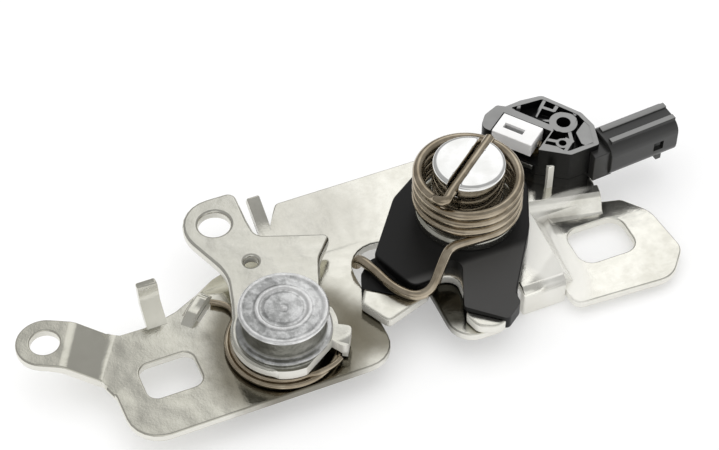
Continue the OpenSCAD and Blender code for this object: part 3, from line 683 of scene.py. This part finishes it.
def wireTree():
    tree = bpy.data.node_groups.new("sweptWire", "GeometryNodeTree")
    tree.interface.new_socket("Geometry", in_out="INPUT", socket_type="NodeSocketGeometry")
    named = {"Radius": "NodeSocketFloat", "Spacing": "NodeSocketFloat", "Sides": "NodeSocketInt",
             "Material": "NodeSocketMaterial"}
    for name, kind in named.items():
        tree.interface.new_socket(name, in_out="INPUT", socket_type=kind)
    tree.interface.new_socket("Geometry", in_out="OUTPUT", socket_type="NodeSocketGeometry")
    new = tree.nodes.new
    given = new("NodeGroupInput")
    curved = new("GeometryNodeCurveSplineType")
    spaced = new("GeometryNodeResampleCurve")
    ring = new("GeometryNodeCurvePrimitiveCircle")
    tube = new("GeometryNodeCurveToMesh")
    real = new("GeometryNodeRealizeInstances")
    shade = new("GeometryNodeSetShadeSmooth")
    paint = new("GeometryNodeSetMaterial")
    result = new("NodeGroupOutput")
    curved.spline_type = "CATMULL_ROM"
    spaced.mode = "LENGTH"
    link = tree.links.new
    link(given.outputs["Geometry"], curved.inputs["Curve"])
    link(curved.outputs["Curve"], spaced.inputs["Curve"])
    link(given.outputs["Spacing"], spaced.inputs["Length"])
    link(spaced.outputs["Curve"], tube.inputs["Curve"])
    link(given.outputs["Radius"], ring.inputs["Radius"])
    link(given.outputs["Sides"], ring.inputs["Resolution"])
    link(ring.outputs["Curve"], tube.inputs["Profile Curve"])
    tube.inputs["Fill Caps"].default_value = True
    link(tube.outputs["Mesh"], real.inputs["Geometry"])
    link(real.outputs["Geometry"], shade.inputs["Geometry"])
    link(shade.outputs["Geometry"], paint.inputs["Geometry"])
    link(given.outputs["Material"], paint.inputs["Material"])
    link(paint.outputs["Geometry"], result.inputs["Geometry"])
    return tree


sweep = wireTree()
sockets = {item.name: item.identifier for item in sweep.interface.items_tree if item.in_out == "INPUT"}


def sweptWire(name, points, v):
    curve = bpy.data.curves.new(name + "Path", "CURVE")
    curve.dimensions = "3D"
    spline = curve.splines.new("POLY")
    spline.points.add(len(points) - 1)
    for point, p in zip(spline.points, points):
        point.co = (p[0] * mm, p[1] * mm, p[2] * mm, 1)
    holder = bpy.data.objects.new(name + "Path", curve)
    scene.collection.objects.link(holder)
    made = holder.modifiers.new("wire", "NODES")
    made.node_group = sweep
    made[sockets["Radius"]] = v["wire"] * mm
    made[sockets["Spacing"]] = v["spacing"] * mm
    made[sockets["Sides"]] = v["sides"]
    made[sockets["Material"]] = wireMat
    bpy.context.view_layer.update()
    mesh = bpy.data.meshes.new_from_object(holder.evaluated_get(bpy.context.evaluated_depsgraph_get()))
    bpy.data.objects.remove(holder)
    obj = meshObject(name, mesh, wireMat)
    obj.data.set_sharp_from_angle(angle=math.radians(50))
    return obj


def blended(obj, node):
    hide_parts(node)
    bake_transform(obj)


bigSpring = {"wire": 1.4, "coilR": 13.6, "pitch": 3.0, "start": 275, "sweep": 1368, "steps": 92, "low": 13.3,
             "legZ": 7.1, "tangZ": 26.3, "spacing": 0.45, "sides": 20}


def bigSpringPath(v):
    x0, y0 = post["at"]
    legZ, tangZ = v["legZ"], v["tangZ"]
    hook = [(-6.9, 1.5, legZ - 3.2), (-6.8, 1.4, legZ - 1.8), (-6.5, 0.9, legZ - 0.7)]
    across = [(-5.9, -0.4, legZ - 0.1), (-5.1, -2.2, legZ), (-4.1, -5, legZ), (-2.7, -9.6, legZ)]
    across += [(-1.6, -12.2, legZ), (-0.2, -14.4, legZ)]
    bend = [(1.8, -16.4, legZ), (4, -17.1, legZ + 0.1), (6.2, -17, legZ + 0.7), (8.2, -16.1, legZ + 2)]
    climb = [(10.8, -13.7, legZ + 3.9), (13.4, -11.3, legZ + 5.3), (14.9, -10.3, legZ + 5.7)]
    leg = hook + across + bend + climb + [(17, -9.9, legZ + 6.1), (21, -10, legZ + 6.2)]
    coil = []
    for k in range(v["steps"] + 1):
        turn = v["start"] + v["sweep"] * k / v["steps"]
        way = math.radians(turn)
        coil.append((x0 + v["coilR"] * math.cos(way), y0 + v["coilR"] * math.sin(way),
                     v["low"] + v["pitch"] * (turn - v["start"]) / 360))
    tang = [(13.9, -3.3, tangZ - 0.7), (14.9, -4.5, tangZ - 0.3), (16.3, -4.6, tangZ)]
    way = math.radians(post["slotTurn"])
    tang += [(x0 + d * math.cos(way), y0 + d * math.sin(way), tangZ) for d in (-10.6, -5, 0, 6, 12.4)]
    return leg + coil + tang


bigObj = sweptWire("claw_torsionSpring", bigSpringPath(bigSpring), bigSpring)
blended(bigObj, "claw_spring")

thinSpring = {"wire": 0.8, "wide": 15.2, "slim": 13.3, "low": 3.65, "rise": 0.95, "start": 135, "sweep": 500,
              "steps": 42, "legRise": 1, "spacing": 0.4, "sides": 14}


def thinSpringPath(v):
    x0, y0 = rivet["at"]
    leg = [(-47.3, 5), (-45.6, 3.9), (-44, 2.4), (-43.1, 0.5), (-43.1, -1.4), (-43.7, -3)]
    points = [(x, y, v["low"]) for x, y in leg]
    for k in range(v["steps"] + 1):
        share = k / v["steps"]
        r = v["wide"] + (v["slim"] - v["wide"]) * share
        turn = math.radians(v["start"] + v["sweep"] * share)
        points.append((x0 + r * math.cos(turn), y0 + r * math.sin(turn), v["low"] + v["rise"] * share))
    z = v["low"] + v["legRise"]
    return points + [(-30.6, -28.6, z), (-27.6, -28.2, z), (-24.9, -27.4, z), (-23, -26.4, z)]


thinObj = sweptWire("leverSpring", thinSpringPath(thinSpring), thinSpring)
blended(thinObj, "pawl_spring")
print("springs made")


# Switch: housing with ribs, slider, socket, return spring

housing = {"name": "switchBody", "angle": 28, "edge": 0.2 * mm, "steps": 2}
finishPiece(dressed("switch_housing", switchMat, housing), "frame", "switch_housing")
slider = {"name": "switchSlider", "angle": 28, "edge": 0.25 * mm, "steps": 3}
finishPiece(dressed("switch_slider", whiteMat, slider), "slider", "switch_slider")
shell = {"name": "plugShell", "angle": 32, "edge": 0.25 * mm, "steps": 3}
finishPiece(dressed("connector_shell", plugMat, shell), "frame", "connector_shell")
returnObj = meshObject("sliderReturnSpring", nodes["slider_spring"].data.copy(), wireMat)
finishPiece(returnObj, "frame", "slider_spring")
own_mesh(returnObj)  # a mesh of its own, as read from model.glb; the slider presses the spring flat against the end of its channel
print("switch made")


# Nodes that stay as they are get their materials

kept = {"claw_bush": sleeveMat, "claw_washer": steelMat, "pawl_bush": sleeveMat, "pawl_spacer": steelMat,
        "switch_base": switchMat, "contact_bridge": brassMat, "contact_front": brassMat,
        "contact_back": brassMat, "actuator_leaf": steelMat}
for name, mat in kept.items():
    nodes[name].data.materials.clear()
    nodes[name].data.materials.append(mat)


# Floor, lights, background

def makeFloor(v):
    bpy.ops.mesh.primitive_plane_add(size=v["size"], location=(0, 0, cadBox[0][2] - v["gap"]))
    floor = bpy.context.object
    floor.name = "floor"
    look = Look("floorWhite", Emission_Color=rgb(1, 1, 1), Emission_Strength=v["glow"])
    colour = look.mix(look.noise(v["cloud"], 2, 0.5), v["dark"], v["pale"])
    floor.data.materials.append(look.feed(Base_Color=colour, Roughness=v["rough"]))


def areaLight(name, v):
    light = bpy.data.lights.new(name, "AREA")
    light.shape = "RECTANGLE"
    light.size = v["w"]
    light.size_y = v["h"]
    light.energy = v["power"]
    obj = bpy.data.objects.new(name, light)
    scene.collection.objects.link(obj)
    obj.visible_glossy = False
    obj.location = v["at"]
    obj.rotation_euler = Vector(v["at"]).to_track_quat("Z", "Y").to_euler()  # faces the origin


def makeWorld(v):  # white to the camera, even soft light, a tent with three boxes in reflections
    world = bpy.data.worlds.new("studio")
    scene.world = world
    world.use_nodes = True
    tree = world.node_tree
    back = tree.nodes["Background"]
    path = tree.nodes.new("ShaderNodeLightPath")
    way = tree.nodes.new("ShaderNodeTexCoord")
    split = tree.nodes.new("ShaderNodeSeparateXYZ")
    tree.links.new(way.outputs["Generated"], split.inputs[0])
    x, y, z = (Sock(tree, split.outputs[name]) for name in "XYZ")
    tent = v["low"] + z.ramp(0.0, 0.7) * (v["high"] - v["low"])
    for box in v["boxes"]:
        to = Vector(box["to"]).normalized()
        tent = tent + (x * to.x + y * to.y + z * to.z).ramp(*box["edge"]) * box["level"]
    camera = Sock(tree, path.outputs["Is Camera Ray"])
    glossy = Sock(tree, path.outputs["Is Glossy Ray"])
    soft = glossy * tent + (1 - glossy) * v["soft"]
    plug(tree, soft * (1 - camera) + camera, back.inputs["Strength"])
    back.inputs["Color"].default_value = rgb(1, 1, 1)


makeFloor({"size": 4, "gap": 0.2 * mm, "glow": 0.32, "rough": 0.8, "cloud": 6,
           "dark": rgb(0.66, 0.66, 0.66), "pale": rgb(0.68, 0.68, 0.68)})
areaLight("topBox", {"at": (0.1, 0.2, 0.9), "w": 1.0, "h": 0.8, "power": 1.6})
areaLight("leftBox", {"at": (-0.8, 0.1, 0.6), "w": 0.6, "h": 0.8, "power": 1.0})
makeWorld({"low": 0.34, "high": 0.44, "soft": 0.95,
           "boxes": [{"to": (0.40, 0.58, 0.71), "edge": (0.925, 0.99), "level": 0.68},
                     {"to": (-0.35, -0.6, 0.72), "edge": (0.9, 0.98), "level": 0.4},
                     {"to": (0.2, -0.96, 0.18), "edge": (0.7, 0.95), "level": 0.45}]})

scene.view_settings.view_transform = "Standard"
print("scene ready")
